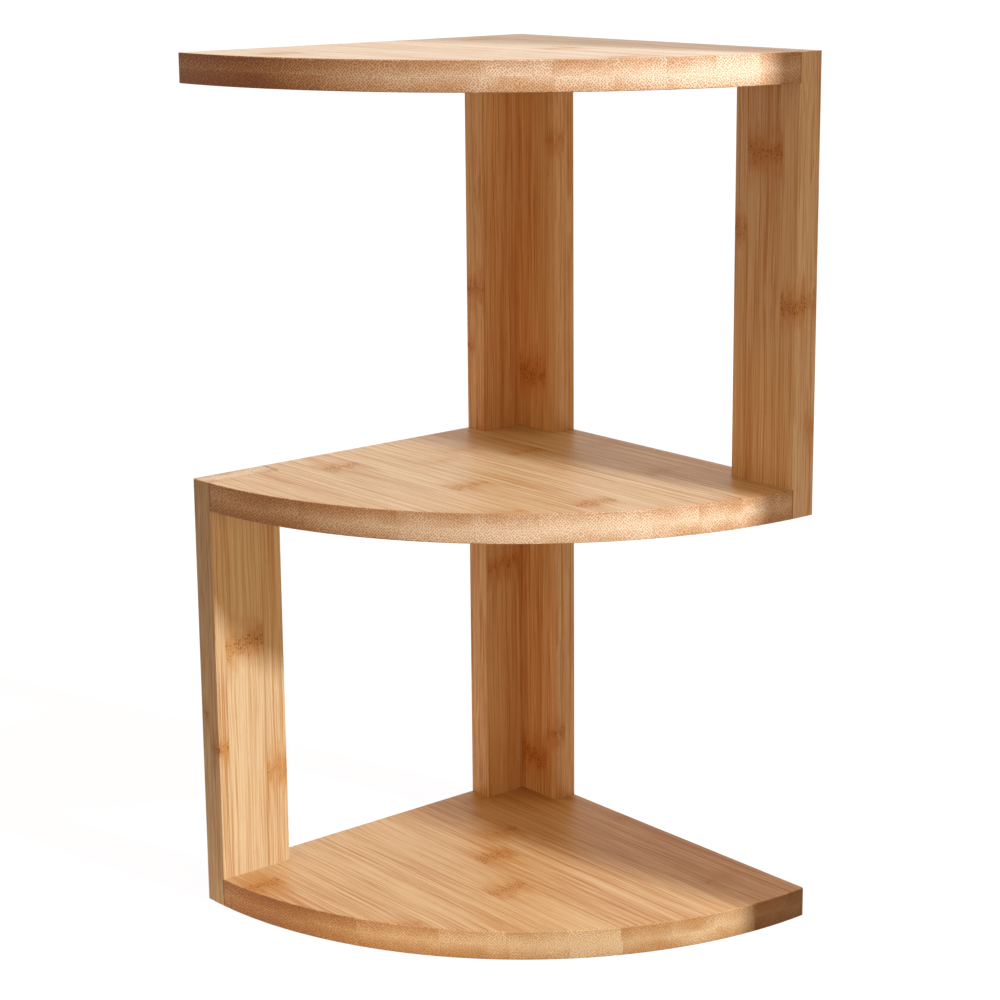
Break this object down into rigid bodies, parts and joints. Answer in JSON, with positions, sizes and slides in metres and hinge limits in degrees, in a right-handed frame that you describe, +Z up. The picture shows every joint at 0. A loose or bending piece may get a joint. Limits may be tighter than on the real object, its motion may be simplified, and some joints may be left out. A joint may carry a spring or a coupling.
{
  "type": "corner shelf",
  "caption": "Free-standing quarter-round corner shelf of laminated bamboo, with stacked decks, an L-shaped corner post and side boards let in at alternate ends.",
  "frame": {"origin": "middle of the bounding box at the underside of the bottom shelf, on the surface that the shelf stands on", "axes": "+Z up; +Y towards the back wall, which the decks' right-hand straight edges and the right side board stand against; -X towards the left wall, which the left-hand straight edges and the left side board stand against"},
  "size_m": [0.2, 0.2, 0.4005],
  "materials": {
    "deck_bamboo": "laminated bamboo strips lying along X, sanded, clear satin lacquer",
    "board_bamboo": "laminated bamboo strips standing upright, sanded, clear satin lacquer",
    "post_bamboo": "laminated bamboo strips standing upright, sanded, clear satin lacquer",
    "dowel_wood": "fluted hardwood, bare",
    "screw_steel": "zinc plated"
  },
  "bodies": {
    "root": {"bottom_shelf": "deck_bamboo", "middle_shelf": "deck_bamboo", "top_shelf": "deck_bamboo", "left_side_board": "board_bamboo", "right_side_board": "board_bamboo", "lower_post_back_board": "post_bamboo", "lower_post_left_board": "post_bamboo", "upper_post_back_board": "post_bamboo", "upper_post_left_board": "post_bamboo", "bottom_dowel_back": "dowel_wood", "bottom_dowel_left": "dowel_wood", "middle_dowel_back": "dowel_wood", "middle_dowel_left": "dowel_wood", "top_dowel_back": "dowel_wood", "top_dowel_left": "dowel_wood", "left_board_screw_bottom_outer": "screw_steel", "left_board_screw_bottom_inner": "screw_steel", "left_board_screw_middle_outer": "screw_steel", "left_board_screw_middle_inner": "screw_steel", "right_board_screw_middle_outer": "screw_steel", "right_board_screw_middle_inner": "screw_steel", "right_board_screw_top_outer": "screw_steel", "right_board_screw_top_inner": "screw_steel"}
  },
  "joints": []
}
